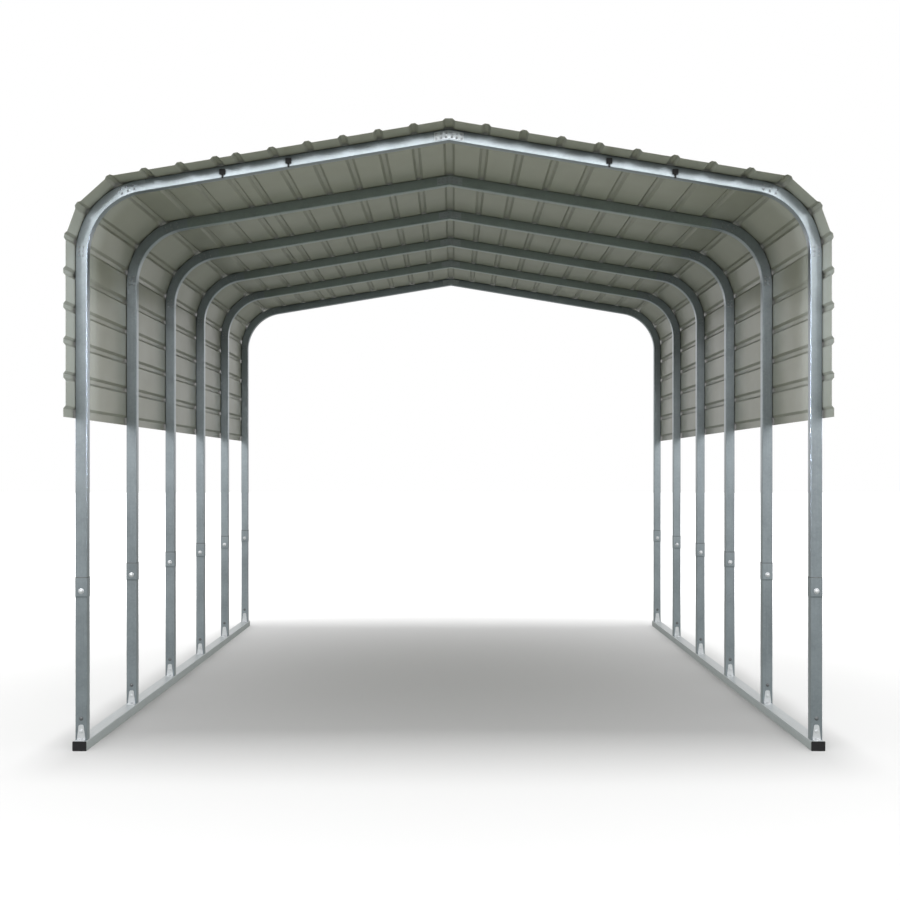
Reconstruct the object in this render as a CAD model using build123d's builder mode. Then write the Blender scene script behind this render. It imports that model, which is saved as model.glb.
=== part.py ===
from build123d import *
import os
from math import cos, radians, sin, tan

os.makedirs("parts", exist_ok=True)

# An open carport: bent square-tube frames stand on two base rails, and ribbed
# steel sheets that run along its length cover the roof and the upper sides.
# X runs across, Y along with the front at -Y, and Z up. The origin is on the
# ground under the middle. Lengths are millimetres and angles are degrees.

# Frames
frame_width = 3633.0
frame_count = 6
tube = 57.15
tube_wall = 1.5
tube_corner = 4.0
inner_corner_share = 0.6
bend_radius = 340.0
bend_start_height = 2408.0
bend_tail = 30.0
roof_angle = 9.4
ridge_gap = 1.0
overrun = 80.0

# Sockets in the tops of the lower posts
seam_height = 835.0
socket_depth = 88.0
socket_clearance = 0.2
flare_length = 8.0

# Base rails and their end caps
rail_width = 68.0
rail_height = 47.0
rail_wall = 2.0
rail_corner = 4.0
rail_reach = 38.0
cap_flange = 4.0
cap_edge = 1.2
cap_plug_depth = 18.0
cap_clearance = 0.3

# Foot brackets
foot_width = 42.0
foot_height = 75.0
foot_taper = 83.0
foot_corner = 9.0
foot_toe = 27.0
foot_thickness = 3.0

# Ridge plates
plate_reach = 72.0
plate_height = 40.0
plate_thickness = 2.0

# Ribbed sheets
sheet_length = 6096.0
sheet_overhang = 180.0
sheet_thickness = 0.5
sheet_seat = 0.3
hem_height = 1613.0
hem_lip = 40.0
upper_facet_angle = 42.0
lower_facet_angle = 70.0
side_angle = 90.0
rib_base = 46.0
rib_crown = 19.0
rib_height = 11.0
roof_steps = 9
seam_rib = 6
left_seam_step = 101.0
side_steps = 5
lap_lip = 14.0
lap_setback = 2.0
ridge_rib_base = 60.0
ridge_rib_crown = 34.0
ridge_flange = 48.0

# Clips on the front rafters
clip_inner_reach = 780.0
clip_outer_reach = 1101.0
clip_width = 28.0
clip_height = 26.0
clip_depth = 9.0
clip_edge = 1.5
clip_tail_width = 8.0
clip_tail_drop = 18.0

# Places that follow from the sizes above
sides = {"left": -1, "right": 1}
frame_pitch = (sheet_length - 2 * sheet_overhang - tube) / (frame_count - 1)
frame_places = [(place - (frame_count - 1) / 2) * frame_pitch for place in range(frame_count)]
post_x = (frame_width - tube) / 2
bend_x = post_x - bend_radius
bend_turn = side_angle - roof_angle
slope = radians(roof_angle)
uphill = Vector(-cos(slope), 0, sin(slope))
rafter_foot_x = bend_x + bend_radius * sin(slope)
rafter_foot_z = bend_start_height + bend_radius * cos(slope)
ridge_centre_z = rafter_foot_z + rafter_foot_x * tan(slope)
rafter_run = rafter_foot_x / cos(slope)
socket_floor = seam_height - socket_depth
socket_bore = tube + 2 * socket_clearance
socket_outside = socket_bore + 2 * tube_wall
bore = tube - 2 * tube_wall
bore_corner = tube_corner * inner_corner_share
socket_corner = tube_corner + socket_clearance
rail_length = (frame_count - 1) * frame_pitch + tube + 2 * (rail_reach - cap_flange)


def front_of(frame_y):
    """Y of the front faces of the tubes of a frame."""
    return frame_y - tube / 2


def rafter_z(x):
    """Height of a rafter's centre line at a distance from the ridge."""
    return ridge_centre_z - abs(x) * tan(slope)


def square_tube():
    """Adds the section of a frame tube to the sketch it is called in."""
    RectangleRounded(tube, tube, tube_corner)
    RectangleRounded(bore, bore, bore_corner, mode=Mode.SUBTRACT)


def write_node(built, name):
    """Labels a finished piece and writes its file."""
    built.part.label = name
    export_step(built.part, f"parts/{name}.step")


# Base rails
for side, sign in sides.items():
    with BuildPart() as base_rail:
        with BuildSketch(Plane.XZ) as rail_section:
            with Locations((sign * post_x, rail_height / 2)):
                RectangleRounded(rail_width, rail_height, rail_corner)
                RectangleRounded(rail_width - 2 * rail_wall, rail_height - 2 * rail_wall,
                                 rail_corner * inner_corner_share, mode=Mode.SUBTRACT)
        extrude(amount=rail_length / 2, both=True)
    write_node(base_rail, f"base_rail_{side}")

# End caps: a flange over the rail's end and a plug in its bore
for end, end_sign in {"front": -1, "rear": 1}.items():
    rail_end = Plane(origin=(0, end_sign * rail_length / 2, rail_height / 2),
                     x_dir=(1, 0, 0), z_dir=(0, end_sign, 0))
    for side, sign in sides.items():
        with BuildPart() as end_cap:
            with BuildSketch(rail_end) as flange_outline:
                with Locations((sign * post_x, 0)):
                    RectangleRounded(rail_width, rail_height, rail_corner)
            extrude(amount=cap_flange)
            fillet(end_cap.faces().sort_by(Axis((0, 0, 0), (0, end_sign, 0)))[-1].edges(), radius=cap_edge)
            with BuildSketch(rail_end) as plug_outline:
                with Locations((sign * post_x, 0)):
                    RectangleRounded(rail_width - 2 * (rail_wall + cap_clearance),
                                     rail_height - 2 * (rail_wall + cap_clearance),
                                     rail_corner * inner_corner_share)
            extrude(amount=-cap_plug_depth)
        write_node(end_cap, f"end_cap_{end}_{side}")

# One foot bracket, an L of plate on the front face of a post
heel = Plane(origin=(0, front_of(0), rail_height), x_dir=(1, 0, 0), z_dir=(0, -1, 0))
with BuildPart() as foot_bracket:
    with BuildSketch(heel) as leg_outline:
        Trapezoid(foot_width, foot_height, foot_taper, align=(Align.CENTER, Align.MIN))
        fillet(leg_outline.vertices().group_by(Axis.Z)[-1], radius=foot_corner)
    extrude(amount=foot_thickness)
    with BuildSketch(heel) as toe_outline:
        Rectangle(foot_width, foot_thickness, align=(Align.CENTER, Align.MIN))
    extrude(amount=foot_thickness + foot_toe)

# Foot brackets along each rail
for side, sign in sides.items():
    with BuildPart() as foot_brackets:
        with Locations([(sign * post_x, frame_y, 0) for frame_y in frame_places]):
            add(foot_bracket.part)
    write_node(foot_brackets, f"foot_brackets_{side}")

# One frame in the middle, each piece as a right half that is mirrored to the left
with BuildPart() as lower_posts:
    with BuildSketch(Plane.XY.offset(rail_height)) as post_outline:
        with Locations((post_x, 0)):
            RectangleRounded(tube, tube, tube_corner)
    extrude(amount=socket_floor - flare_length - rail_height)
    with BuildSketch(Plane.XY.offset(socket_floor - flare_length)) as flare_start:
        with Locations((post_x, 0)):
            RectangleRounded(tube, tube, tube_corner)
    with BuildSketch(Plane.XY.offset(socket_floor)) as flare_end:
        with Locations((post_x, 0)):
            RectangleRounded(socket_outside, socket_outside, socket_corner + tube_wall)
    loft()
    with BuildSketch(Plane.XY.offset(socket_floor)) as socket_outline:
        with Locations((post_x, 0)):
            RectangleRounded(socket_outside, socket_outside, socket_corner + tube_wall)
    extrude(amount=socket_depth)
    with BuildSketch(Plane.XY.offset(rail_height)) as bore_outline:
        with Locations((post_x, 0)):
            RectangleRounded(bore, bore, bore_corner)
    extrude(amount=seam_height - rail_height, mode=Mode.SUBTRACT)
    with BuildSketch(Plane.XY.offset(socket_floor)) as socket_hollow:
        with Locations((post_x, 0)):
            RectangleRounded(socket_bore, socket_bore, socket_corner)
    extrude(amount=socket_depth, mode=Mode.SUBTRACT)
    mirror(about=Plane.YZ)

with BuildPart() as upper_posts:
    with BuildSketch(Plane.XY.offset(socket_floor)) as post_section:
        with Locations((post_x, 0)):
            square_tube()
    extrude(amount=bend_start_height - bend_tail - socket_floor)
    mirror(about=Plane.YZ)

bend_axis = Axis((bend_x, 0, bend_start_height), (0, -1, 0))
rafter_foot = Plane(origin=(rafter_foot_x, 0, rafter_foot_z), x_dir=(0, 1, 0), z_dir=uphill)
with BuildPart() as corner_bends:
    with BuildSketch(Plane.XY.offset(bend_start_height)) as bend_section:
        with Locations((post_x, 0)):
            square_tube()
    revolve(axis=bend_axis, revolution_arc=bend_turn)
    with BuildSketch(Plane.XY.offset(bend_start_height)) as lower_tail:
        with Locations((post_x, 0)):
            square_tube()
    extrude(amount=-bend_tail)
    with BuildSketch(rafter_foot) as upper_tail:
        square_tube()
    extrude(amount=bend_tail)
    mirror(about=Plane.YZ)

with BuildPart() as rafters:
    with BuildSketch(rafter_foot.offset(bend_tail)) as rafter_section:
        square_tube()
    extrude(amount=rafter_run - bend_tail + overrun)
    split(bisect_by=Plane.YZ.offset(ridge_gap / 2), keep=Keep.TOP)
    mirror(about=Plane.YZ)

# The same frame at every place along the rails
frame_pieces = {
    "lower_posts": lower_posts,
    "upper_posts": upper_posts,
    "corner_bends": corner_bends,
    "rafters": rafters,
}
for number, frame_y in enumerate(frame_places, start=1):
    for kind, piece in frame_pieces.items():
        with BuildPart() as placed_piece:
            with Locations((0, frame_y, 0)):
                add(piece.part)
        write_node(placed_piece, f"{kind}_{number}")

# Ridge plates: a bent strip on the front of each frame's ridge joint
plate_rise = plate_height / 2 / cos(slope)
plate_crest = [(-plate_reach, rafter_z(plate_reach)), (0, ridge_centre_z), (plate_reach, rafter_z(plate_reach))]
with BuildPart() as ridge_plates:
    for frame_y in frame_places:
        with BuildSketch(Plane.XZ.offset(-front_of(frame_y))) as plate_outline:
            with BuildLine() as plate_edge:
                Polyline([(x, z + plate_rise) for x, z in plate_crest]
                         + [(x, z - plate_rise) for x, z in reversed(plate_crest)], close=True)
            make_face()
        extrude(amount=plate_thickness)
write_node(ridge_plates, "ridge_plates")

# Line that the sheets lie on, from the ridge down to the hem of the right side
seat_radius = bend_radius + tube / 2 + sheet_seat


def facet_corner(upper_slope, lower_slope):
    """Where two facets meet that both touch the outside of the bent tube."""
    half_turn = radians(lower_slope - upper_slope) / 2
    facing = radians(side_angle - (upper_slope + lower_slope) / 2)
    reach = seat_radius / cos(half_turn)
    return Vector(bend_x + reach * cos(facing), bend_start_height + reach * sin(facing))


ridge_seat = Vector(0, bend_start_height + (seat_radius + bend_x * sin(slope)) / cos(slope))
eave_corner = facet_corner(roof_angle, upper_facet_angle)
middle_corner = facet_corner(upper_facet_angle, lower_facet_angle)
side_corner = facet_corner(lower_facet_angle, side_angle)
hem_corner = Vector(side_corner.X, hem_height)
seat_line = [ridge_seat, eave_corner, middle_corner, side_corner, hem_corner]
eave_at = (eave_corner - ridge_seat).length
middle_at = eave_at + (middle_corner - eave_corner).length
side_at = middle_at + (side_corner - middle_corner).length
hem_at = side_at + (hem_corner - side_corner).length


def on_seat(distance):
    """Point of the seat line at a distance from the ridge, measured along it."""
    for start, end in zip(seat_line, seat_line[1:]):
        length = (end - start).length
        if distance <= length:
            break
        distance -= length
    else:
        distance += length
    return start + (end - start) * (distance / length)


def outward(run):
    """Direction square to a run down the sheet, away from the frames."""
    return Vector(-run.Y, run.X)


def moved_out(points, distance):
    """A line of points moved away from the frames, with its corners mitred."""
    runs = [(end - start).normalized() for start, end in zip(points, points[1:])]
    moved = []
    for point, before, after in zip(points, runs[:1] + runs, runs + runs[-1:]):
        faces = (outward(before), outward(after))
        moved.append(point + (faces[0] + faces[1]) * (distance / (1 + faces[0].dot(faces[1]))))
    return moved


def rib_line(at):
    """Corners of a rib: uphill foot, both edges of its crown, downhill foot."""
    upper_foot = on_seat(at - rib_base / 2)
    lower_foot = on_seat(at + rib_base / 2)
    run = (lower_foot - upper_foot).normalized()
    crest = (upper_foot + lower_foot) * (1 / 2) + outward(run) * rib_height
    half_crown = run * (rib_crown / 2)
    return [upper_foot, crest - half_crown, crest + half_crown, lower_foot]


def lapping_end(at):
    """Last rib of a sheet, raised to lie on the first rib of the next one."""
    rib = rib_line(at)
    lip = on_seat(at + rib_base / 2 + lap_lip)
    return rib[:1] + moved_out(rib + [lip], sheet_thickness)[1:]


def tucked_start(at):
    """First rib of a sheet, cut off just past the uphill edge of its crown."""
    rib = rib_line(at)
    run = (rib[2] - rib[1]).normalized()
    return [rib[1] + run * lap_setback] + rib[2:]


def hem_end(at):
    """Last rib of a side, whose crown runs straight on as the hem."""
    rib = rib_line(at)
    run = (rib[2] - rib[1]).normalized()
    return rib[:2] + [rib[1] + run * hem_lip]


def plain_ribs(places):
    """Lines of all the whole ribs at a list of distances."""
    return [point for at in places for point in rib_line(at)]


def sheet_outline(under, sign):
    """Closed outline of a sheet from the line of its under side."""
    over = moved_out(under, sheet_thickness)
    return [(sign * point.X, point.Y) for point in under + over[::-1]]


# Rib distances down each side. The left roof has one odd step at its seam.
seam_steps = {"left": left_seam_step, "right": 0}
last_side_rib = hem_at - hem_lip + rib_crown / 2
side_pitch = (last_side_rib - side_at) / side_steps
side_ribs = [side_at + step * side_pitch for step in range(1, side_steps + 1)]

# Roof, corner and side sheets
for side, sign in sides.items():
    odd_step = seam_steps[side]
    roof_pitch = (eave_at - odd_step) / roof_steps
    roof_ribs = [step * roof_pitch for step in range(1, seam_rib + 1)]
    first_eave_step = seam_rib if odd_step else seam_rib + 1
    eave_ribs = [step * roof_pitch + odd_step for step in range(first_eave_step, roof_steps)]
    sheet_lines = {
        "roof": [on_seat(ridge_rib_base / 2)] + plain_ribs(roof_ribs[:-1]) + lapping_end(roof_ribs[-1]),
        "corner": tucked_start(roof_ribs[-1]) + plain_ribs(eave_ribs + [eave_at, middle_at, side_at])
        + lapping_end(side_ribs[0]),
        "side": tucked_start(side_ribs[0]) + plain_ribs(side_ribs[1:-1]) + hem_end(side_ribs[-1]),
    }
    for kind, under in sheet_lines.items():
        with BuildPart() as sheet:
            with BuildSketch(Plane.XZ) as sheet_section:
                with BuildLine() as sheet_edge:
                    Polyline(sheet_outline(under, sign), close=True)
                make_face()
            extrude(amount=sheet_length / 2, both=True)
        write_node(sheet, f"{side}_{kind}_sheet")

# Ridge cap: a wide rib with a flange on each roof sheet
cap_foot = on_seat(ridge_rib_base / 2)
cap_edge_point = on_seat(ridge_rib_base / 2 + ridge_flange)
cap_right = [Vector(ridge_rib_crown / 2, cap_foot.Y + rib_height), cap_foot, cap_edge_point]
cap_line = [Vector(-point.X, point.Y) for point in cap_right[::-1]] + cap_right
with BuildPart() as ridge_cap:
    with BuildSketch(Plane.XZ) as cap_section:
        with BuildLine() as cap_outline:
            Polyline(sheet_outline(moved_out(cap_line, sheet_thickness), 1), close=True)
        make_face()
    extrude(amount=sheet_length / 2, both=True)
write_node(ridge_cap, "ridge_cap")

# Clips on the front frame's rafters, each a block with a tail hanging from it
with BuildPart() as rafter_clips:
    for reach in (-clip_outer_reach, -clip_inner_reach, clip_inner_reach, clip_outer_reach):
        clip_face = Plane(origin=(reach, front_of(frame_places[0]), rafter_z(reach)),
                          x_dir=(1, 0, 0), z_dir=(0, -1, 0))
        with BuildSketch(clip_face) as clip_outline:
            RectangleRounded(clip_width, clip_height, clip_edge)
        extrude(amount=clip_depth)
        with BuildSketch(clip_face) as tail_outline:
            Rectangle(clip_tail_width, clip_height / 2 + clip_tail_drop, align=(Align.CENTER, Align.MAX))
        extrude(amount=clip_depth / 2)
write_node(rafter_clips, "rafter_clips")
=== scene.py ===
"""The looks of an open steel carport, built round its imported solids."""
import logging
import math
from dataclasses import dataclass, field
from enum import Enum
from typing import Callable, Iterable, Iterator

import bmesh
import bpy
from mathutils import Matrix, Vector


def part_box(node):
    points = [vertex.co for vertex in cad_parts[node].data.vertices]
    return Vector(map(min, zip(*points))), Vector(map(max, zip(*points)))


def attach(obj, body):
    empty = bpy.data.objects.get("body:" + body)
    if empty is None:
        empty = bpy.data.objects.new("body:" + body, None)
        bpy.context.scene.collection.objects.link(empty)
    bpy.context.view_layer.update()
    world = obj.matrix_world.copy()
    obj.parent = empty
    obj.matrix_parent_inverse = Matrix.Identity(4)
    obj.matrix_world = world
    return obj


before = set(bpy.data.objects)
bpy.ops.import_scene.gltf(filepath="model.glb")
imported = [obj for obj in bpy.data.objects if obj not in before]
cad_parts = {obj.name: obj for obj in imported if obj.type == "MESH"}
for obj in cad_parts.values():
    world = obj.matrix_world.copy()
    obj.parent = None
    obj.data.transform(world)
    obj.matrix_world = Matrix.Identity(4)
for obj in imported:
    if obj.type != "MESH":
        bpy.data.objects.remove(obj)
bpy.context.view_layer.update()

LOG = logging.getLogger("carport")
BODY = "root"
PHOTO_PIXELS = 900
Colour = tuple[float, float, float]
EVEN = Vector((1.0, 1.0, 1.0))
UP = Vector((0.0, 0.0, 1.0))
FRONT = Vector((0.0, -1.0, 0.0))
REAR = Vector((0.0, 1.0, 0.0))
HEXAGON = 6
FACING = 0.5
UPRIGHT_SHARE = 0.99
NOISE_MIDDLE = (0.3, 0.7)
CREVICE_SAMPLES = 8
# Greener copy of the galvanised colour for the inner rafters: a painted reflection of the olive roof paint
# above them.
RAFTER_STEEL_WITH_PAINTED_REFLECTION = (0.305, 0.348, 0.335)
# Lighter copy of the galvanised colour for the base rails: painted light standing in for light that their
# faces don't receive.
RAIL_STEEL_WITH_PAINTED_LIGHT = (0.455, 0.488, 0.497)
DULL_ZINC = (0.40, 0.42, 0.44)
PLATE_ZINC = (0.40, 0.43, 0.45)
PLUG_ZINC = (0.19, 0.20, 0.205)
DULL_ROUGHNESS = (0.42, 0.55)
# Dark grey of the collars that paint the shadow at the post seams.
SEAM_SHADOW_GREY = (0.11, 0.118, 0.122)


class Grain(Enum):
    """Axis that the drawing marks of a rolled steel section run along."""

    ACROSS = 0
    ALONG = 1
    UPRIGHT = 2


class Side(Enum):
    """Side of the carport seen from its front, as a sign on X."""

    LEFT = -1
    RIGHT = 1

    @property
    def word(self) -> str:
        """Word that this side has in the names of the solids."""
        return self.name.lower()


def mix_colours(tree: bpy.types.NodeTree, factor: bpy.types.NodeSocket, first: object,
                second: object) -> bpy.types.NodeSocket:
    """Adds a node that changes from one colour to another.

    Args:
        tree: Node tree to add it to.
        factor: Socket that is 0 for the first colour and 1 for the second.
        first: Colour or colour socket.
        second: Colour or colour socket.

    Returns:
        The colour output.
    """
    node = tree.nodes.new("ShaderNodeMix")
    node.data_type = "RGBA"
    tree.links.new(factor, node.inputs["Factor"])
    for socket, shade in ((node.inputs[6], first), (node.inputs[7], second)):
        if isinstance(shade, tuple):
            socket.default_value = (*shade, 1.0)
        else:
            tree.links.new(shade, socket)
    return node.outputs[2]


def map_range(tree: bpy.types.NodeTree, value: bpy.types.NodeSocket, source: tuple[float, float],
              target: tuple[float, float]) -> bpy.types.NodeSocket:
    """Adds a node that maps one range of values onto another.

    Args:
        tree: Node tree to add it to.
        value: Socket to read.
        source: Range that the value comes from.
        target: Range that it is mapped onto.

    Returns:
        The mapped value.
    """
    node = tree.nodes.new("ShaderNodeMapRange")
    node.inputs["From Min"].default_value, node.inputs["From Max"].default_value = source
    node.inputs["To Min"].default_value, node.inputs["To Max"].default_value = target
    tree.links.new(value, node.inputs["Value"])
    return node.outputs["Result"]


class ShaderGraph:
    """Node tree of one material, with short calls that add and join nodes."""

    def __init__(self, name: str) -> None:
        """Starts a material with a Principled shader.

        Args:
            name: Name of the material.
        """
        self.material = bpy.data.materials.new(name)
        self.material.use_nodes = True
        self.tree = self.material.node_tree
        self.shader = self.tree.nodes["Principled BSDF"]
        self.coordinates = self.tree.nodes.new("ShaderNodeTexCoord")

    def constant(self, socket: str, value: float) -> None:
        """Sets a shader socket that is the same all over the surface.

        Args:
            socket: Name of the shader's socket.
            value: Its value.
        """
        self.shader.inputs[socket].default_value = value

    def place(self, stretch: Vector) -> bpy.types.NodeSocket:
        """Object coordinates scaled by an amount on each axis.

        Args:
            stretch: Scale of the coordinates on X, Y and Z.

        Returns:
            The vector output.
        """
        mapping = self.tree.nodes.new("ShaderNodeMapping")
        mapping.inputs["Scale"].default_value = stretch
        self.tree.links.new(self.coordinates.outputs["Object"], mapping.inputs["Vector"])
        return mapping.outputs["Vector"]

    def noise(self, place: bpy.types.NodeSocket, scale: float, detail: float) -> bpy.types.NodeSocket:
        """Cloudy noise at a place.

        Args:
            place: Vector socket to read.
            scale: Noise cells per metre.
            detail: Octaves of finer noise.

        Returns:
            The factor output.
        """
        node = self.tree.nodes.new("ShaderNodeTexNoise")
        node.inputs["Scale"].default_value = scale
        node.inputs["Detail"].default_value = detail
        self.tree.links.new(place, node.inputs["Vector"])
        return node.outputs["Fac"]

    def cells(self, place: bpy.types.NodeSocket, scale: float) -> bpy.types.NodeSocket:
        """Random grey of crystal-like cells.

        Args:
            place: Vector socket to read.
            scale: Cells per metre.

        Returns:
            The colour output, whose channels are random in each cell.
        """
        node = self.tree.nodes.new("ShaderNodeTexVoronoi")
        node.inputs["Scale"].default_value = scale
        self.tree.links.new(place, node.inputs["Vector"])
        return node.outputs["Color"]

    def between(self, factor: bpy.types.NodeSocket, low: float, high: float) -> bpy.types.NodeSocket:
        """Spreads the middle of a factor over a range of values.

        Args:
            factor: Socket to read.
            low: Value at the dark end of the factor.
            high: Value at its light end.

        Returns:
            The value output.
        """
        return map_range(self.tree, factor, NOISE_MIDDLE, (low, high))

    def blend(self, factor: bpy.types.NodeSocket, first: object, second: object) -> bpy.types.NodeSocket:
        """Mixes two colours by a factor.

        Args:
            factor: Socket to read.
            first: Colour or colour socket at factor 0.
            second: Colour or colour socket at factor 1.

        Returns:
            The colour output.
        """
        return mix_colours(self.tree, factor, first, second)

    def crevices(self, reach: float, closed: float = 0.0) -> bpy.types.NodeSocket:
        """Openness of the surface: 0 deep in a hollow and 1 on a free face.

        Args:
            reach: How far away a surface still closes it in, in metres.
            closed: Share of free directions at which it already counts as 0.

        Returns:
            The factor output.
        """
        node = self.tree.nodes.new("ShaderNodeAmbientOcclusion")
        node.samples = CREVICE_SAMPLES
        node.inputs["Distance"].default_value = reach
        return map_range(self.tree, node.outputs["AO"], (closed, 1.0), (0.0, 1.0))

    def bump(self, height: bpy.types.NodeSocket, strength: float, depth: float,
             under: bpy.types.NodeSocket | None = None) -> bpy.types.NodeSocket:
        """Bumps the surface by a height, over any bump that it had.

        Args:
            height: Socket to read.
            strength: Strength of the bump.
            depth: Height of the bump in metres.
            under: Normal output of the bump below it.

        Returns:
            The normal output.
        """
        node = self.tree.nodes.new("ShaderNodeBump")
        node.inputs["Strength"].default_value = strength
        node.inputs["Distance"].default_value = depth
        self.tree.links.new(height, node.inputs["Height"])
        if under is not None:
            self.tree.links.new(under, node.inputs["Normal"])
        return node.outputs["Normal"]

    def feed(self, socket: str, output: bpy.types.NodeSocket) -> None:
        """Joins an output to one of the shader's sockets."""
        self.tree.links.new(output, self.shader.inputs[socket])


def tint(colour: Colour, factor: float) -> Colour:
    """A colour made lighter or darker by a factor."""
    return tuple(channel * factor for channel in colour)


@dataclass(frozen=True)
class GalvanisedSteel:
    """Galvanised steel with spangle, faint drawing marks and dull patches, and painted shade where other
    surfaces close it in.
    """

    name: str
    grain: Grain
    colour: Colour = (0.305, 0.343, 0.366)
    spangle_per_metre: float = 90.0
    mark_per_metre: float = 160.0
    mark_stretch: float = 0.02
    roughness: tuple[float, float] = (0.285, 0.36)
    metallic: float = 1.0
    painted_shade: float = 0.8
    painted_shade_reach: float = 0.04
    painted_shade_closed: float = 0.42
    spangle_tints: tuple[float, float] = (0.90, 1.10)
    mark_share: float = 0.6
    mark_tint: float = 0.80
    mark_bump: tuple[float, float] = (0.015, 0.0002)
    patch_per_metre: float = 7.0
    patch_share: float = 0.45
    patch_tint: float = 1.16

    def material(self) -> bpy.types.Material:
        """Builds the material.

        Returns:
            The material.
        """
        graph = ShaderGraph(self.name)
        even = graph.place(EVEN)
        stretch = EVEN.copy()
        stretch[self.grain.value] = self.mark_stretch
        marks = graph.noise(graph.place(stretch), self.mark_per_metre, detail=3.0)
        spangle = graph.cells(even, self.spangle_per_metre)
        patches = graph.noise(even, self.patch_per_metre, detail=4.0)
        dark, light = self.spangle_tints
        colour = graph.blend(spangle, tint(self.colour, dark), tint(self.colour, light))
        marked = graph.between(marks, 0.0, self.mark_share)
        colour = graph.blend(marked, colour, tint(self.colour, self.mark_tint))
        dulled = graph.between(patches, 0.0, self.patch_share)
        colour = graph.blend(dulled, colour, tint(self.colour, self.patch_tint))
        # Painted shade: the colour darkens where nearby surfaces close the steel in, as under the sheet
        # overhang and at contacts.
        free = graph.crevices(self.painted_shade_reach, self.painted_shade_closed)
        colour = graph.blend(free, tint(self.colour, self.painted_shade), colour)
        graph.feed("Base Color", colour)
        graph.constant("Metallic", self.metallic)
        graph.feed("Roughness", graph.between(patches, *self.roughness))
        graph.feed("Normal", graph.bump(marks, *self.mark_bump))
        return graph.material


@dataclass(frozen=True)
class PaintedSheetSteel:
    """Semi-gloss paint on thin sheet steel, a little wavy and dusty, with painted shade in its hollows."""

    name: str
    colour: Colour = (0.247, 0.250, 0.192)
    dust: Colour = (0.283, 0.286, 0.224)
    roughness: tuple[float, float] = (0.42, 0.55)
    coat: float = 0.4
    coat_roughness: float = 0.22
    painted_crevice_shade: float = 0.42
    painted_crevice_shade_reach: float = 0.05
    dust_per_metre: float = 3.5
    dust_share: float = 0.55
    streak_per_metre: float = 26.0
    streak_stretch: float = 0.06
    streak_share: float = 0.25
    streak_tint: float = 0.9
    wave_per_metre: float = 4.0
    wave_stretch: float = 0.35
    wave_bump: tuple[float, float] = (0.35, 0.004)
    peel_per_metre: float = 900.0
    peel_bump: tuple[float, float] = (0.05, 0.0002)

    def material(self) -> bpy.types.Material:
        """Builds the material.

        Returns:
            The material.
        """
        graph = ShaderGraph(self.name)
        even = graph.place(EVEN)
        along = graph.place(Vector((1.0, self.streak_stretch, 1.0)))
        rolling = graph.place(Vector((1.0, self.wave_stretch, 1.0)))
        dust = graph.noise(even, self.dust_per_metre, detail=5.0)
        streaks = graph.noise(along, self.streak_per_metre, detail=3.0)
        waves = graph.noise(rolling, self.wave_per_metre, detail=1.0)
        peel = graph.noise(even, self.peel_per_metre, detail=1.0)
        colour = graph.blend(graph.between(dust, 0.0, self.dust_share), self.colour, self.dust)
        streaked = graph.between(streaks, 0.0, self.streak_share)
        colour = graph.blend(streaked, colour, tint(self.colour, self.streak_tint))
        # Painted shade: darker in the rib hollows and where the sheets meet the frames.
        colour = graph.blend(graph.crevices(self.painted_crevice_shade_reach), tint(self.colour, self.painted_crevice_shade), colour)
        graph.feed("Base Color", colour)
        graph.constant("Coat Weight", self.coat)
        graph.constant("Coat Roughness", self.coat_roughness)
        graph.feed("Roughness", graph.between(dust, *self.roughness))
        graph.feed("Normal", graph.bump(peel, *self.peel_bump, under=graph.bump(waves, *self.wave_bump)))
        return graph.material


@dataclass(frozen=True)
class BrightZinc:
    """Zinc plating on small pressed pieces and fasteners."""

    name: str
    colour: Colour = (0.72, 0.74, 0.76)
    roughness: tuple[float, float] = (0.30, 0.42)
    metallic: float = 0.75
    cloud_per_metre: float = 60.0
    cloud_share: float = 0.6
    cloud_tint: float = 0.8
    scratch_per_metre: float = 700.0
    scratch_stretch: float = 0.1
    scratch_bump: tuple[float, float] = (0.05, 0.0001)

    def material(self) -> bpy.types.Material:
        """Builds the material.

        Returns:
            The material.
        """
        graph = ShaderGraph(self.name)
        even = graph.place(EVEN)
        across = graph.place(Vector((self.scratch_stretch, 1.0, 1.0)))
        clouds = graph.noise(even, self.cloud_per_metre, detail=4.0)
        scratches = graph.noise(across, self.scratch_per_metre, detail=2.0)
        clouded = graph.between(clouds, 0.0, self.cloud_share)
        colour = graph.blend(clouded, self.colour, tint(self.colour, self.cloud_tint))
        graph.feed("Base Color", colour)
        graph.constant("Metallic", self.metallic)
        graph.feed("Roughness", graph.between(clouds, *self.roughness))
        graph.feed("Normal", graph.bump(scratches, *self.scratch_bump))
        return graph.material


@dataclass(frozen=True)
class BlackPlastic:
    """Black moulded plastic with a fine grain."""

    name: str
    colour: Colour = (0.008, 0.008, 0.009)
    roughness: tuple[float, float] = (0.42, 0.56)
    gloss: float = 0.3
    scuff_per_metre: float = 90.0
    scuff_share: float = 0.5
    scuff_tint: float = 2.0
    grain_per_metre: float = 1500.0
    grain_bump: tuple[float, float] = (0.15, 0.0002)

    def material(self) -> bpy.types.Material:
        """Builds the material.

        Returns:
            The material.
        """
        graph = ShaderGraph(self.name)
        even = graph.place(EVEN)
        scuffs = graph.noise(even, self.scuff_per_metre, detail=4.0)
        grain = graph.noise(even, self.grain_per_metre, detail=1.0)
        scuffed = graph.between(scuffs, 0.0, self.scuff_share)
        graph.feed("Base Color", graph.blend(scuffed, self.colour, tint(self.colour, self.scuff_tint)))
        graph.constant("Specular IOR Level", self.gloss)
        graph.feed("Roughness", graph.between(scuffs, *self.roughness))
        graph.feed("Normal", graph.bump(grain, *self.grain_bump))
        return graph.material


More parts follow.
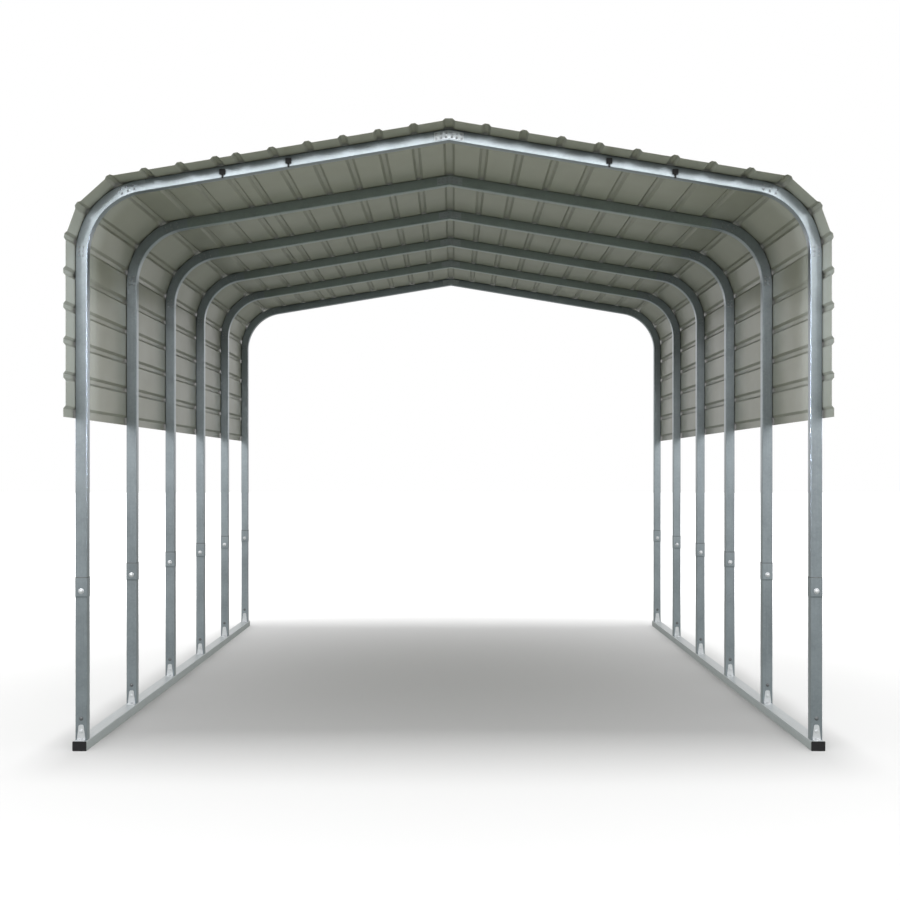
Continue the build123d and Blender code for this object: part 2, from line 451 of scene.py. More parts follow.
class Workbench:
    """Short calls round Blender's modelling operators."""

    @staticmethod
    def clear() -> None:
        """Leaves edit mode and deselects every object."""
        if bpy.context.object is not None and bpy.context.object.mode != "OBJECT":
            bpy.ops.object.mode_set(mode="OBJECT")
        bpy.ops.object.select_all(action="DESELECT")

    @staticmethod
    def choose(pieces: Iterable[bpy.types.Object]) -> None:
        """Selects some pieces and makes the last one active."""
        Workbench.clear()
        for piece in pieces:
            piece.select_set(True)
            bpy.context.view_layer.objects.active = piece

    @staticmethod
    def pick_faces(test: Callable[[Vector], bool]) -> None:
        """Selects the faces of the mesh in edit mode that pass a test.

        Args:
            test: Called with a face's normal.
        """
        bpy.ops.mesh.select_mode(type="FACE")
        bpy.ops.mesh.select_all(action="DESELECT")
        mesh = bpy.context.object.data
        shape = bmesh.from_edit_mesh(mesh)
        for face in shape.faces:
            face.select_set(test(face.normal))
        shape.select_flush_mode()
        bmesh.update_edit_mesh(mesh)

    @staticmethod
    def change_top(change: Callable[..., object], **values: object) -> None:
        """Changes the faces of the active piece that look up.

        Args:
            change: Operator to call on them in edit mode.
            **values: What the operator is called with.
        """
        bpy.ops.object.mode_set(mode="EDIT")
        Workbench.pick_faces(lambda normal: normal.z > FACING)
        change(**values)
        bpy.ops.object.mode_set(mode="OBJECT")

    @staticmethod
    def pick_upright_edges() -> None:
        """Selects the edges along Z of the mesh in edit mode."""
        bpy.ops.mesh.select_mode(type="EDGE")
        bpy.ops.mesh.select_all(action="DESELECT")
        mesh = bpy.context.object.data
        shape = bmesh.from_edit_mesh(mesh)
        for edge in shape.edges:
            run = edge.verts[1].co - edge.verts[0].co
            edge.select_set(abs(run.z) > UPRIGHT_SHARE * run.length)
        shape.select_flush_mode()
        bmesh.update_edit_mesh(mesh)

    @staticmethod
    def add_disc(sides: int, radius: float, height: float, base: float = 0.0) -> bpy.types.Object:
        """Adds an upright disc on the Z axis.

        Args:
            sides: Number of its sides.
            radius: Its radius.
            height: Its height.
            base: Z of its underside.

        Returns:
            The disc.
        """
        Workbench.clear()
        bpy.ops.mesh.primitive_cylinder_add(vertices=sides, radius=radius, depth=height,
                                            location=(0.0, 0.0, base + height / 2))
        return bpy.context.object

    @staticmethod
    def settle(piece: bpy.types.Object, name: str, smooth_degrees: float) -> bpy.types.Object:
        """Names a finished piece, applies its place and shades it.

        Args:
            piece: Object to finish.
            name: Its new name.
            smooth_degrees: Edges flatter than this are shaded smooth.

        Returns:
            The same object.
        """
        Workbench.choose([piece])
        bpy.ops.object.transform_apply(location=True, rotation=True, scale=True)
        bpy.ops.object.shade_smooth_by_angle(angle=math.radians(smooth_degrees))
        piece.name = name
        piece.data.name = name
        Workbench.clear()
        return piece

    @staticmethod
    def joined_copies(master: bpy.types.Object, places: Iterable[Matrix], name: str) -> bpy.types.Object:
        """Copies a model to many places, joins the copies and removes the model.

        Args:
            master: Finished model at the origin.
            places: Place of each copy.
            name: Name of the joined piece.

        Returns:
            The joined piece.
        """
        copies = []
        for place in places:
            copy = master.copy()
            copy.data = master.data.copy()
            copy.matrix_world = place
            bpy.context.scene.collection.objects.link(copy)
            copies.append(copy)
        Workbench.choose(copies)
        bpy.ops.object.join()
        piece = bpy.context.object
        bpy.data.objects.remove(master)
        Workbench.choose([piece])
        bpy.ops.object.transform_apply(location=True, rotation=True, scale=True)
        piece.name = name
        piece.data.name = name
        Workbench.clear()
        return piece


def facing(place: Vector, outward: Vector, upward: Vector) -> Matrix:
    """Matrix that puts a model with its Z along a direction.

    Args:
        place: Where the model's origin goes.
        outward: Direction of its Z.
        upward: Direction that its Y leans to.

    Returns:
        The matrix.
    """
    z_axis = outward.normalized()
    x_axis = upward.cross(z_axis).normalized()
    y_axis = z_axis.cross(x_axis)
    turn = Matrix((x_axis, y_axis, z_axis)).transposed()
    return Matrix.Translation(place) @ turn.to_4x4()


@dataclass(frozen=True)
class DomedBolt:
    """Carriage bolt: a low dome on a plain washer. Its Z points out of the steel."""

    head_radius: float = 0.0108
    head_height: float = 0.0055
    washer_radius: float = 0.0138
    washer_height: float = 0.002
    segments: int = 20
    washer_bevel: float = 0.3

    def model(self) -> bpy.types.Object:
        """Models one bolt at the origin.

        Returns:
            The model.
        """
        Workbench.clear()
        bpy.ops.mesh.primitive_uv_sphere_add(segments=self.segments, ring_count=self.segments // 2,
                                             radius=self.head_radius)
        head = bpy.context.object
        bpy.ops.object.mode_set(mode="EDIT")
        bpy.ops.mesh.select_all(action="SELECT")
        bpy.ops.mesh.bisect(plane_co=(0.0, 0.0, 0.0), plane_no=tuple(UP), clear_inner=True, use_fill=True)
        bpy.ops.mesh.select_all(action="SELECT")
        bpy.ops.transform.resize(value=(1.0, 1.0, self.head_height / self.head_radius))
        bpy.ops.transform.translate(value=(0.0, 0.0, self.washer_height))
        bpy.ops.object.mode_set(mode="OBJECT")
        washer = Workbench.add_disc(self.segments, self.washer_radius, self.washer_height)
        Workbench.change_top(bpy.ops.mesh.bevel, offset=self.washer_height * self.washer_bevel, segments=2)
        Workbench.choose([washer, head])
        bpy.ops.object.join()
        return Workbench.settle(bpy.context.object, "domed_bolt_model", smooth_degrees=40.0)


@dataclass(frozen=True)
class HexScrew:
    """Self-drilling screw: a six-sided head on its own round flange. Its Z points out of the steel."""

    head_radius: float = 0.0040
    head_height: float = 0.0038
    flange_radius: float = 0.0058
    flange_height: float = 0.0012
    segments: int = 14
    flange_taper: float = 0.86
    head_inset: float = 0.18
    head_rise: float = 0.16

    def model(self) -> bpy.types.Object:
        """Models one screw head at the origin.

        Returns:
            The model.
        """
        flange = Workbench.add_disc(self.segments, self.flange_radius, self.flange_height)
        Workbench.change_top(bpy.ops.transform.resize, value=(self.flange_taper, self.flange_taper, 1.0))
        head = Workbench.add_disc(HEXAGON, self.head_radius, self.head_height, self.flange_height)
        Workbench.change_top(bpy.ops.mesh.inset, thickness=self.head_radius * self.head_inset,
                             depth=self.head_height * self.head_rise)
        Workbench.choose([flange, head])
        bpy.ops.object.join()
        return Workbench.settle(bpy.context.object, "hex_screw_model", smooth_degrees=30.0)


@dataclass(frozen=True)
class HexNut:
    """Nut on a plain washer with the bolt's end through it. Its Z points out of the steel."""

    nut_radius: float = 0.0092
    nut_height: float = 0.008
    washer_radius: float = 0.0115
    washer_height: float = 0.0018
    thread_radius: float = 0.0048
    thread_reach: float = 0.005
    segments: int = 16
    washer_bevel: float = 0.3
    nut_inset: float = 0.14
    nut_rise: float = 0.1
    thread_chamfer: float = 0.2

    def model(self) -> bpy.types.Object:
        """Models one nut at the origin.

        Returns:
            The model.
        """
        washer = Workbench.add_disc(self.segments, self.washer_radius, self.washer_height)
        Workbench.change_top(bpy.ops.mesh.bevel, offset=self.washer_height * self.washer_bevel, segments=1)
        nut = Workbench.add_disc(HEXAGON, self.nut_radius, self.nut_height, self.washer_height)
        Workbench.change_top(bpy.ops.mesh.inset, thickness=self.nut_radius * self.nut_inset,
                             depth=self.nut_height * self.nut_rise)
        nut_top = self.washer_height + self.nut_height
        chamfer = self.thread_radius * self.thread_chamfer
        thread = Workbench.add_disc(self.segments, self.thread_radius, self.thread_reach, nut_top)
        Workbench.change_top(bpy.ops.mesh.inset, thickness=chamfer, depth=chamfer)
        Workbench.choose([washer, thread, nut])
        bpy.ops.object.join()
        return Workbench.settle(bpy.context.object, "hex_nut_model", smooth_degrees=30.0)


@dataclass(frozen=True)
class SealWasher:
    """Rubber washer under a sheet screw. Its Z points out of the sheet."""

    radius: float = 0.0085
    height: float = 0.0022
    segments: int = 12
    rim_inset: float = 0.12
    rim_rise: float = 0.3

    @property
    def top(self) -> float:
        """Z of the washer's upper face."""
        return self.height * (1 + self.rim_rise)

    def model(self) -> bpy.types.Object:
        """Models one washer at the origin.

        Returns:
            The model.
        """
        washer = Workbench.add_disc(self.segments, self.radius, self.height)
        Workbench.change_top(bpy.ops.mesh.inset, thickness=self.radius * self.rim_inset,
                             depth=self.height * self.rim_rise)
        return Workbench.settle(washer, "seal_washer_model", smooth_degrees=40.0)


@dataclass(frozen=True)
class SeamShadowBand:
    """Thin dark collar round an upper post, standing on the rim of the lower one, as painted shadow of the
    seam.
    """

    tube: float
    wall: float = 0.0013
    height: float = 0.0045
    corner: float = 0.004

    def model(self) -> bpy.types.Object:
        """Models one collar at the origin.

        Returns:
            The model.
        """
        Workbench.clear()
        outside = self.tube + 2 * self.wall
        bpy.ops.mesh.primitive_cube_add(size=1.0, location=(0.0, 0.0, self.height / 2),
                                        scale=(outside, outside, self.height))
        band = bpy.context.object
        bpy.ops.object.transform_apply(location=True, rotation=True, scale=True)
        bpy.ops.object.mode_set(mode="EDIT")
        Workbench.pick_upright_edges()
        bpy.ops.mesh.bevel(offset=self.corner + self.wall, segments=3)
        Workbench.pick_faces(lambda normal: abs(normal.z) > FACING)
        bpy.ops.mesh.inset(thickness=self.wall)
        bpy.ops.mesh.bridge_edge_loops()
        bpy.ops.object.mode_set(mode="OBJECT")
        return Workbench.settle(band, "seam_shadow_band_model", smooth_degrees=40.0)


@dataclass
class CarportSizes:
    """Sizes and places that the other classes share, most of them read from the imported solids."""

    frame_count: int = 6
    slope: float = math.radians(9.4)
    bend_radius: float = 0.340
    bend_tail: float = 0.030
    frame_y: list[float] = field(init=False)
    front_y: list[float] = field(init=False)
    rear_y: list[float] = field(init=False)
    tube: float = field(init=False)
    post_x: float = field(init=False)
    rail_top: float = field(init=False)
    seam_z: float = field(init=False)
    socket_step: float = field(init=False)
    bend_x: float = field(init=False)
    bend_z: float = field(init=False)
    ridge_top: float = field(init=False)

    def __post_init__(self) -> None:
        """Reads the boxes of the solids."""
        posts = [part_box(f"upper_posts_{number}") for number in range(1, self.frame_count + 1)]
        self.frame_y = [(low.y + high.y) / 2 for low, high in posts]
        self.front_y = [low.y for low, _ in posts]
        self.rear_y = [high.y for _, high in posts]
        self.tube = posts[0][1].y - posts[0][0].y
        self.post_x = posts[0][1].x - self.tube / 2
        self.rail_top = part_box("base_rail_left")[1].z
        socket_low, socket_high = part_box("lower_posts_1")
        self.seam_z = socket_high.z
        self.socket_step = (socket_high.y - socket_low.y - self.tube) / 2
        self.bend_x = self.post_x - self.bend_radius
        self.bend_z = posts[0][1].z + self.bend_tail
        self.ridge_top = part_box("rafters_1")[1].z

    def rafter_z(self, x: float) -> float:
        """Height of a rafter's middle line at a distance from the ridge."""
        return self.ridge_top - self.tube / 2 / math.cos(self.slope) - abs(x) * math.tan(self.slope)

    def faces(self) -> Iterator[tuple[float, Vector]]:
        """Front and rear faces of the frames.

        Yields:
            The Y of a face and the direction it looks in.
        """
        for y in self.front_y:
            yield y, FRONT
        for y in self.rear_y:
            yield y, REAR


def dress(node: str, material: bpy.types.Material) -> None:
    """Gives a CAD node its finish.

    Args:
        node: Name of the node.
        material: The finish.
    """
    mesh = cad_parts[node].data
    mesh.materials.clear()
    mesh.materials.append(material)


def add_piece(piece: bpy.types.Object, material: bpy.types.Material) -> None:
    """Gives a new piece its finish and puts it on the carport.

    Args:
        piece: Finished object at the origin.
        material: Its finish.
    """
    piece.data.materials.clear()
    piece.data.materials.append(material)
    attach(piece, BODY)
    LOG.info("%s: %d faces", piece.name, len(piece.data.polygons))


@dataclass
class TubeFrames:
    """Galvanised frames with the bolts of their sockets, dark collars painting the shadow at their seams, and
    the screws of their bends.
    """

    sizes: CarportSizes
    bolt_drop: float = 0.064
    screw_rows: tuple[float, ...] = (-0.0205, 0.0, 0.0205)
    screw_columns: tuple[float, ...] = (-0.011, 0.011)
    low_screw_lift: float = 0.016
    high_screw_turn: float = math.radians(20.0)
    high_screw_step: float = 0.033

    def build(self) -> None:
        """Dresses the tubes and adds their fasteners."""
        upright = GalvanisedSteel("galvanised_posts", Grain.UPRIGHT).material()
        # Inner rafters get a greener colour as painted reflection; the front and rear rafters get deeper
        # painted shade under the sheet overhang.
        across = GalvanisedSteel("galvanised_rafters", Grain.ACROSS, colour=RAFTER_STEEL_WITH_PAINTED_REFLECTION).material()
        gable = GalvanisedSteel("galvanised_gables", Grain.ACROSS, painted_shade=0.4).material()
        for number in range(1, self.sizes.frame_count + 1):
            dress(f"lower_posts_{number}", upright)
            dress(f"upper_posts_{number}", upright)
            dress(f"corner_bends_{number}", upright)
            dress(f"rafters_{number}", gable if number in (1, self.sizes.frame_count) else across)
        zinc = BrightZinc("zinc_bolts").material()
        bolt_places = self.socket_places(self.sizes.front_y, FRONT)
        bolts = Workbench.joined_copies(DomedBolt().model(), bolt_places, "socket_bolts")
        add_piece(bolts, zinc)
        nut_places = self.socket_places(self.sizes.rear_y, REAR)
        nuts = Workbench.joined_copies(HexNut().model(), nut_places, "socket_nuts")
        add_piece(nuts, zinc)
        # Dark collars at the seams: painted shadow of the step where the upper post enters the socket.
        rims = [Matrix.Translation((side.value * self.sizes.post_x, y, self.sizes.seam_z))
                for y in self.sizes.frame_y for side in Side]
        shadow_bands = Workbench.joined_copies(SeamShadowBand(self.sizes.tube).model(), rims, "seam_shadow_bands")
        add_piece(shadow_bands, BlackPlastic("seam_shadow_grey", SEAM_SHADOW_GREY).material())
        screws = Workbench.joined_copies(HexScrew().model(), self.bend_screw_places(), "bend_screws")
        dull = BrightZinc("dull_screws", DULL_ZINC, DULL_ROUGHNESS, metallic=1.0).material()
        add_piece(screws, dull)

    def socket_places(self, face_ys: list[float], outward: Vector) -> list[Matrix]:
        """Places just under the seam on the sockets' faces.

        Args:
            face_ys: Y of the posts' faces.
            outward: Direction that the faces look in.

        Returns:
            One place for each post.
        """
        height = self.sizes.seam_z - self.bolt_drop
        return [facing(Vector((side.value * self.sizes.post_x, y, height)) + outward * self.sizes.socket_step,
                       outward, UP)
                for y in face_ys for side in Side]

    def bend_screw_places(self) -> list[Matrix]:
        """Places of the screws at both ends of every bent corner, on its front and its rear.

        Returns:
            One place for each screw.
        """
        places = []
        low_z = self.sizes.bend_z + self.low_screw_lift
        row_turn = self.high_screw_step / self.sizes.bend_radius
        for y, outward in self.sizes.faces():
            for side in Side:
                for row in self.screw_rows:
                    for column in self.screw_columns:
                        low = Vector((self.sizes.post_x + column, y, low_z + row))
                        turn = self.high_screw_turn - row / self.screw_rows[-1] * row_turn
                        reach = self.sizes.bend_radius + column
                        high = Vector((self.sizes.bend_x + reach * math.sin(turn), y,
                                       self.sizes.bend_z + reach * math.cos(turn)))
                        for spot in (low, high):
                            spot.x *= side.value
                            places.append(facing(spot, outward, UP))
        return places


@dataclass
class BaseRails:
    """Rails along the ground with their end caps, foot brackets and bolts."""

    sizes: CarportSizes
    bracket_thickness: float = 0.003
    leg_bolt_lift: float = 0.0435
    post_bolt_lift: float = 0.1045
    toe_bolt_reach: float = 0.017

    def build(self) -> None:
        """Dresses the rails, the caps and the brackets and bolts them down."""
        # Rails use a lighter, less metallic copy of the galvanised steel as painted light.
        along = GalvanisedSteel("galvanised_rails", Grain.ALONG, colour=RAIL_STEEL_WITH_PAINTED_LIGHT, metallic=0.45,
                                painted_shade=0.9).material()
        plastic = BlackPlastic("black_caps").material()
        zinc = BrightZinc("zinc_brackets").material()
        for side in Side:
            dress(f"base_rail_{side.word}", along)
            dress(f"foot_brackets_{side.word}", zinc)
            for end in ("front", "rear"):
                dress(f"end_cap_{end}_{side.word}", plastic)
        bright, dark = self.bolt_places()
        bolt = HexScrew(head_radius=0.0075, head_height=0.005, flange_radius=0.0098, flange_height=0.0016)
        bolts = Workbench.joined_copies(bolt.model(), bright, "bracket_bolts")
        add_piece(bolts, zinc)
        plug = DomedBolt(head_radius=0.0075, head_height=0.003, washer_radius=0.0100, washer_height=0.0010,
                         segments=16)
        plugs = Workbench.joined_copies(plug.model(), dark, "post_plugs")
        dull = BrightZinc("dull_plugs", PLUG_ZINC, DULL_ROUGHNESS, metallic=1.0).material()
        add_piece(plugs, dull)

    def bolt_places(self) -> tuple[list[Matrix], list[Matrix]]:
        """Places of the bolts through the brackets and of the plugs above them.

        Returns:
            The bolts' places and the plugs' places.
        """
        bolts = []
        plugs = []
        for y in self.sizes.front_y:
            for side in Side:
                x = side.value * self.sizes.post_x
                leg = Vector((x, y - self.bracket_thickness, self.sizes.rail_top + self.leg_bolt_lift))
                bolts.append(facing(leg, FRONT, UP))
                toe = Vector((x, y - self.toe_bolt_reach, self.sizes.rail_top + self.bracket_thickness))
                bolts.append(facing(toe, UP, REAR))
                plugs.append(facing(Vector((x, y, self.sizes.rail_top + self.post_bolt_lift)), FRONT, UP))
        return bolts, plugs


@dataclass
class SheetCladding:
    """Ribbed sheets of the roof and the upper sides with the screws that hold them to the frames."""

    sizes: CarportSizes
    roof_pans: int = 6
    eave_pans: int = 3
    lap_reach: float = 0.037
    left_seam_step: float = 0.101
    facet_degrees: tuple[float, float] = (42.0, 70.0)
    side_pans: int = 5
    hem_to_rib: float = 0.0305
    sheet_thickness: float = 0.0005
    ray_height: float = 1.5

    def build(self) -> None:
        """Dresses the sheets and the ridge cap and screws them down."""
        paint = PaintedSheetSteel("olive_grey_paint").material()
        for side in Side:
            for kind in ("roof", "corner", "side"):
                dress(f"{side.word}_{kind}_sheet", paint)
        dress("ridge_cap", paint)
        seats = [seat for side in Side for y in self.sizes.frame_y for seat in self.seats(side, y)]
        washer = SealWasher()
        washers = Workbench.joined_copies(washer.model(), seats, "screw_washers")
        add_piece(washers, BlackPlastic("rubber_washers").material())
        lift = Matrix.Translation((0.0, 0.0, washer.top))
        screws = Workbench.joined_copies(HexScrew().model(), [seat @ lift for seat in seats], "sheet_screws")
        add_piece(screws, PaintedSheetSteel("painted_screw_heads").material())

    def seats(self, side: Side, y: float) -> Iterator[Matrix]:
        """Places on the middle of each pan over one frame.

        Args:
            side: Side of the carport.
            y: Middle of the frame.

        Yields:
            Place of a screw on the outside of a sheet.
        """
        for kind, start, aim in self.pan_rays(side):
            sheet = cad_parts[f"{side.word}_{kind}_sheet"]
            origin = Vector((side.value * start.x, y, start.y))
            ray = Vector((side.value * aim.x, 0.0, aim.y))
            found, spot, normal, _ = sheet.ray_cast(origin, ray)
            if not found:
                raise ValueError(f"no {kind} sheet over the frame at {y:.3f} on the {side.word}")
            yield facing(spot - normal * self.sheet_thickness, -normal, REAR)

    def pan_rays(self, side: Side) -> Iterator[tuple[str, Vector, Vector]]:
        """Rays from under the roof through the middle of each pan, in X and Z.

        Args:
            side: Side of the carport.

        Yields:
            Kind of sheet, start of the ray and its direction, as for the right side.
        """
        low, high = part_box(f"{side.word}_roof_sheet")
        across = max(abs(low.x), abs(high.x)) / math.cos(self.sizes.slope) - self.lap_reach
        pitch = across / self.roof_pans
        seam = self.left_seam_step if side is Side.LEFT else 0.0
        upward = Vector((0.0, 1.0))
        for pan in range(self.roof_pans):
            reach = (pan + 0.5) * pitch
            yield "roof", Vector((reach * math.cos(self.sizes.slope), self.ray_height)), upward
        for pan in range(self.roof_pans, self.roof_pans + self.eave_pans):
            reach = (pan + 0.5) * pitch + seam
            yield "corner", Vector((reach * math.cos(self.sizes.slope), self.ray_height)), upward
        middle = Vector((self.sizes.bend_x, self.sizes.bend_z))
        for degrees in self.facet_degrees:
            turn = math.radians(degrees)
            yield "corner", middle, Vector((math.sin(turn), math.cos(turn)))
        seat_radius = self.sizes.bend_radius + self.sizes.tube / 2
        top = self.sizes.bend_z + seat_radius * math.tan(math.radians(90.0 - self.facet_degrees[1]) / 2)
        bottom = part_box(f"{side.word}_side_sheet")[0].z + self.hem_to_rib
        for pan in range(self.side_pans):
            height = top - (pan + 0.5) * (top - bottom) / self.side_pans
            yield ("side" if pan else "corner"), Vector((0.0, height)), Vector((1.0, 0.0))


@dataclass
class RoofFittings:
    """Ridge plates with their screws and the clips on the front rafters."""

    sizes: CarportSizes
    plate_thickness: float = 0.002
    screw_reaches: tuple[float, ...] = (-0.062, -0.038, -0.014, 0.014, 0.038, 0.062)
    screw_rises: tuple[float, ...] = (-0.0105, 0.0105)

    def build(self) -> None:
        """Dresses the plates and the clips and screws the plates on."""
        zinc = BrightZinc("zinc_ridge_plates", PLATE_ZINC, metallic=1.0).material()
        dress("ridge_plates", zinc)
        dress("rafter_clips", BlackPlastic("black_clips").material())
        spots = [Vector((reach, y - self.plate_thickness, self.sizes.rafter_z(reach) + rise))
                 for y in self.sizes.front_y for reach in self.screw_reaches for rise in self.screw_rises]
        places = [facing(spot, FRONT, UP) for spot in spots]
        screws = Workbench.joined_copies(HexScrew().model(), places, "ridge_screws")
        dull = BrightZinc("ridge_screw_zinc", DULL_ZINC, DULL_ROUGHNESS, metallic=1.0).material()
        add_piece(screws, dull)


@dataclass
class Studio:
    """Pale floor, soft light and the camera of the photograph."""

    sizes: CarportSizes
    camera_distance: float = 7.270
    camera_height: float = 1.360
    camera_aside: float = 0.024
    focal_pixels: float = 1495.0
    vanishing_point: tuple[float, float] = (453.8, 470.1)
    sensor: float = 36.0
    sky_light: tuple[float, float] = (1.40, 0.15)
    floor_size: float = 160.0
    floor_seen: float = 0.58
    floor_bounce: Colour = (0.505, 0.520, 0.475)
    floor_mirrored: Colour = (0.430, 0.455, 0.440)
    floor_mirrored_behind: Colour = (0.360, 0.375, 0.355)
    floor_behind: tuple[float, float] = (-1.0, 4.0)
    floor_glow: tuple[float, float] = (0.03, 0.9)
    glow_reach: float = 10.0
    overhead_level: float = 0.75
    overhead_share: float = 0.4
    overhead_height: float = 60.0
    overhead_size: tuple[float, float] = (6.0, 28.0)
    overhead_forward: float = 4.0
    front_radiance: float = 4.4
    front_size: tuple[float, float] = (26.0, 3.0)
    front_distance: float = 14.0
    front_low_edge: float = 5.0
    ridge_power: float = 1.0
    ridge_size: tuple[float, float] = (5.0, 1.6)
    ridge_aside: float = 3.0
    ridge_spread: float = 7.0
    ridge_lift: float = 1.96
    ridge_tilt: float = 7.5
    ridge_swing: float = 9.3
    edge_power: float = 3.4
    edge_size: tuple[float, float] = (0.6, 0.8)
    edge_spread: float = 7.0
    edge_place: tuple[float, float] = (13.0, 2.2)
    edge_height: float = 2.03
    edge_colour: Colour = (0.82, 0.89, 1.12)

    def build(self) -> None:
        """Sets up the view, the sky, the lamps and the floor."""
        self.add_camera()
        self.add_sky()
        self.add_lamps()
        self.keep_to(bpy.data.objects["floor_light"], self.add_floor())
        bpy.context.scene.view_settings.view_transform = "Standard"

    def add_camera(self) -> None:
        """Stands the camera where the photograph was taken from."""
        half = PHOTO_PIXELS / 2
        camera = bpy.data.cameras.new("photo_camera")
        camera.sensor_width = self.sensor
        camera.lens = self.focal_pixels / PHOTO_PIXELS * self.sensor
        camera.shift_x = (half - self.vanishing_point[0]) / PHOTO_PIXELS
        camera.shift_y = (self.vanishing_point[1] - half) / PHOTO_PIXELS
        stand = bpy.data.objects.new("photo_camera", camera)
        stand.location = (self.camera_aside, self.sizes.front_y[0] - self.camera_distance, self.camera_height)
        stand.rotation_euler = (math.pi / 2, 0.0, 0.0)
        bpy.context.scene.collection.objects.link(stand)
        bpy.context.scene.camera = stand

    def add_sky(self) -> None:
        """Makes the sky white to the camera and in reflections, and as light brighter in front."""
        world = bpy.data.worlds.new("studio_sky")
        world.use_nodes = True
        bpy.context.scene.world = world
        tree = world.node_tree
        background = tree.nodes["Background"]
        background.inputs["Color"].default_value = (1.0, 1.0, 1.0, 1.0)
        rays = tree.nodes.new("ShaderNodeLightPath")
        seen = rays.outputs["Is Camera Ray"]
        for ray in ("Is Glossy Ray", "Is Transmission Ray"):
            either = tree.nodes.new("ShaderNodeMath")
            either.operation = "MAXIMUM"
            tree.links.new(seen, either.inputs[0])
            tree.links.new(rays.outputs[ray], either.inputs[1])
            seen = either.outputs["Value"]
        direction = tree.nodes.new("ShaderNodeTexCoord")
        axes = tree.nodes.new("ShaderNodeSeparateXYZ")
        tree.links.new(direction.outputs["Generated"], axes.inputs["Vector"])
        level = tree.nodes.new("ShaderNodeMix")
        level.inputs["B"].default_value = 1.0
        tree.links.new(seen, level.inputs["Factor"])
        tree.links.new(map_range(tree, axes.outputs["Y"], (-1.0, 1.0), self.sky_light), level.inputs["A"])
        tree.links.new(level.outputs["Result"], background.inputs["Strength"])

    def add_lamps(self) -> None:
        """Adds far lamps overhead, a soft panel in front, two gable strips and a light for each edge."""
        overhead_power = self.overhead_level * math.pi ** 2 * self.overhead_height ** 2
        place = Vector((0.0, -self.overhead_forward, self.overhead_height))
        floor_power = (1 - self.overhead_share) * overhead_power
        self.add_panel("overhead", self.overhead_size, self.overhead_share * overhead_power, place, 0.0)
        self.add_panel("floor_light", self.overhead_size, floor_power, place, 0.0)
        width, height = self.front_size
        front_power = self.front_radiance * math.pi * width * height
        front_y = self.sizes.front_y[0] - self.front_distance
        place = Vector((0.0, front_y, self.front_low_edge + height / 2))
        self.add_panel("front_panel", self.front_size, front_power, place, math.pi / 2)
        aside, forward = self.edge_place
        for side in Side:
            place = Vector((side.value * self.ridge_aside, front_y, self.sizes.ridge_top + self.ridge_lift))
            strip = self.add_panel(f"ridge_strip_{side.word}", self.ridge_size, self.ridge_power, place,
                                   math.pi / 2 - math.radians(self.ridge_tilt),
                                   side.value * math.radians(self.ridge_swing))
            strip.spread = math.radians(self.ridge_spread)
            place = Vector((side.value * aside, self.sizes.front_y[0] - forward, self.edge_height))
            swing = side.value * math.atan2(aside + self.sizes.post_x, forward)
            edge = self.add_panel(f"edge_light_{side.word}", self.edge_size, self.edge_power, place,
                                  math.pi / 2, swing)
            edge.spread = math.radians(self.edge_spread)
            edge.color = self.edge_colour

    def add_panel(self, name: str, size: tuple[float, float], power: float, place: Vector,
                  lift: float, swing: float = 0.0) -> bpy.types.Light:
        """Adds one rectangular lamp.

        Args:
            name: Name of the lamp.
            size: Its width and its length.
            power: Its power in watts.
            place: Its middle.
            lift: Turn about X from facing down to facing the carport.
            swing: Turn about Z from there.

        Returns:
            The lamp's light.
        """
        light = bpy.data.lights.new(name, "AREA")
        light.shape = "RECTANGLE"
        light.size, light.size_y = size
        light.energy = power
        lamp = bpy.data.objects.new(name, light)
        lamp.location = place
        lamp.rotation_euler = (lift, 0.0, swing)
        bpy.context.scene.collection.objects.link(lamp)
        return light

    @staticmethod
    def keep_to(lamp: bpy.types.Object, lit: bpy.types.Object) -> None:
        """Lets a lamp light one object alone, in the shadow of all the others.

        Args:
            lamp: The lamp.
            lit: The object that it lights.
        """
        group = bpy.data.collections.new(f"lit_by_{lamp.name}")
        group.objects.link(lit)
        lamp.light_linking.receiver_collection = group

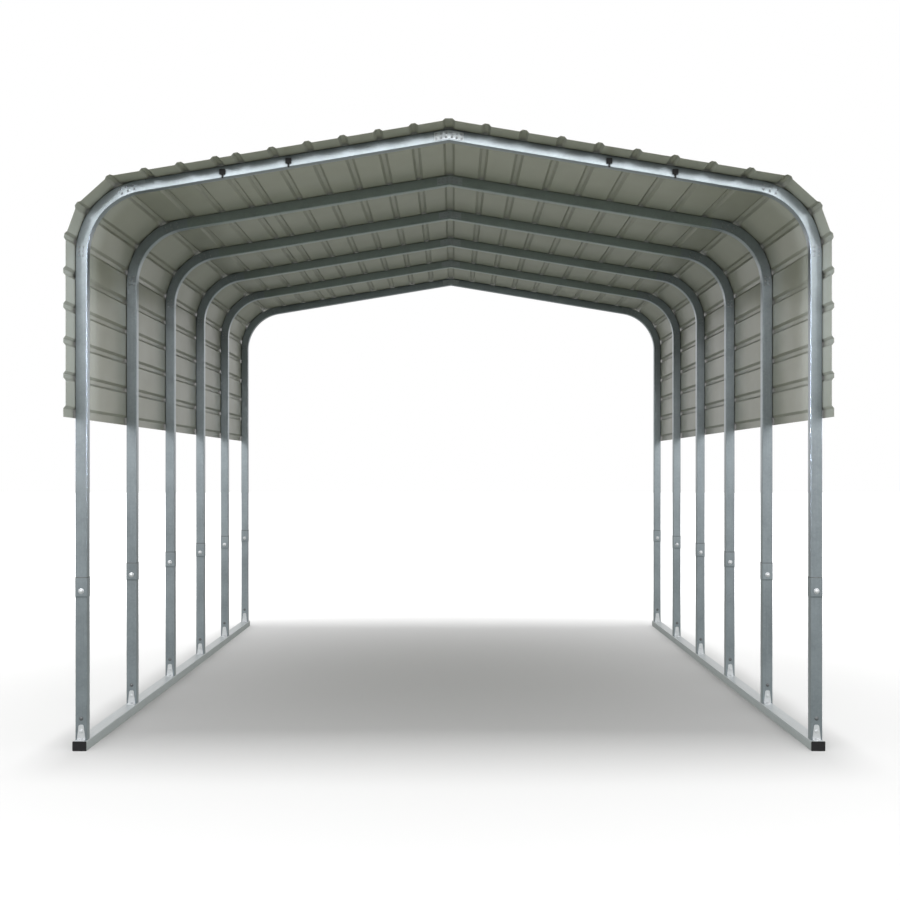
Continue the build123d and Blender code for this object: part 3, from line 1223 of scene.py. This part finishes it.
    def add_floor(self) -> bpy.types.Object:
        """Lays a pale floor that shows a shadow, fades to white and has plain colours in reflections.

        Returns:
            The floor.
        """
        Workbench.clear()
        bpy.ops.mesh.primitive_plane_add(size=self.floor_size)
        floor = bpy.context.object
        floor.name = "studio_floor"
        material = bpy.data.materials.new("pale_floor")
        material.use_nodes = True
        tree = material.node_tree
        tree.nodes.clear()
        output = tree.nodes.new("ShaderNodeOutputMaterial")
        matt = tree.nodes.new("ShaderNodeBsdfDiffuse")
        glow = tree.nodes.new("ShaderNodeEmission")
        rays = tree.nodes.new("ShaderNodeLightPath")
        both = tree.nodes.new("ShaderNodeAddShader")
        place = tree.nodes.new("ShaderNodeTexCoord")
        away = tree.nodes.new("ShaderNodeVectorMath")
        away.operation = "SUBTRACT"
        away.inputs[1].default_value = (0.0, self.sizes.front_y[0], 0.0)
        tree.links.new(place.outputs["Object"], away.inputs[0])
        reach = tree.nodes.new("ShaderNodeVectorMath")
        reach.operation = "DOT_PRODUCT"
        tree.links.new(away.outputs["Vector"], reach.inputs[0])
        tree.links.new(away.outputs["Vector"], reach.inputs[1])
        parts = tree.nodes.new("ShaderNodeSeparateXYZ")
        tree.links.new(place.outputs["Object"], parts.inputs["Vector"])
        behind = map_range(tree, parts.outputs["Y"], self.floor_behind, (0.0, 1.0))
        mirror = tree.nodes.new("ShaderNodeEmission")
        mirrored = mix_colours(tree, behind, self.floor_mirrored, self.floor_mirrored_behind)
        tree.links.new(mirrored, mirror.inputs["Color"])
        shade = mix_colours(tree, rays.outputs["Is Camera Ray"], self.floor_bounce, (self.floor_seen,) * 3)
        fade = map_range(tree, reach.outputs["Value"], (0.0, self.glow_reach ** 2), self.floor_glow)
        level = tree.nodes.new("ShaderNodeMath")
        level.operation = "MULTIPLY"
        tree.links.new(shade, matt.inputs["Color"])
        tree.links.new(rays.outputs["Is Camera Ray"], level.inputs[0])
        tree.links.new(fade, level.inputs[1])
        tree.links.new(level.outputs["Value"], glow.inputs["Strength"])
        tree.links.new(matt.outputs["BSDF"], both.inputs[0])
        tree.links.new(glow.outputs["Emission"], both.inputs[1])
        choice = tree.nodes.new("ShaderNodeMixShader")
        tree.links.new(rays.outputs["Is Glossy Ray"], choice.inputs["Fac"])
        tree.links.new(both.outputs["Shader"], choice.inputs[1])
        tree.links.new(mirror.outputs["Emission"], choice.inputs[2])
        tree.links.new(choice.outputs["Shader"], output.inputs["Surface"])
        floor.data.materials.append(material)
        return floor


def main() -> None:
    """Builds the carport's looks in order."""
    logging.basicConfig(level=logging.INFO, format="%(name)s: %(message)s")
    sizes = CarportSizes()
    for assembly in (TubeFrames, BaseRails, SheetCladding, RoofFittings, Studio):
        assembly(sizes).build()
        LOG.info("%s done", assembly.__name__)


if __name__ == "__main__":
    main()
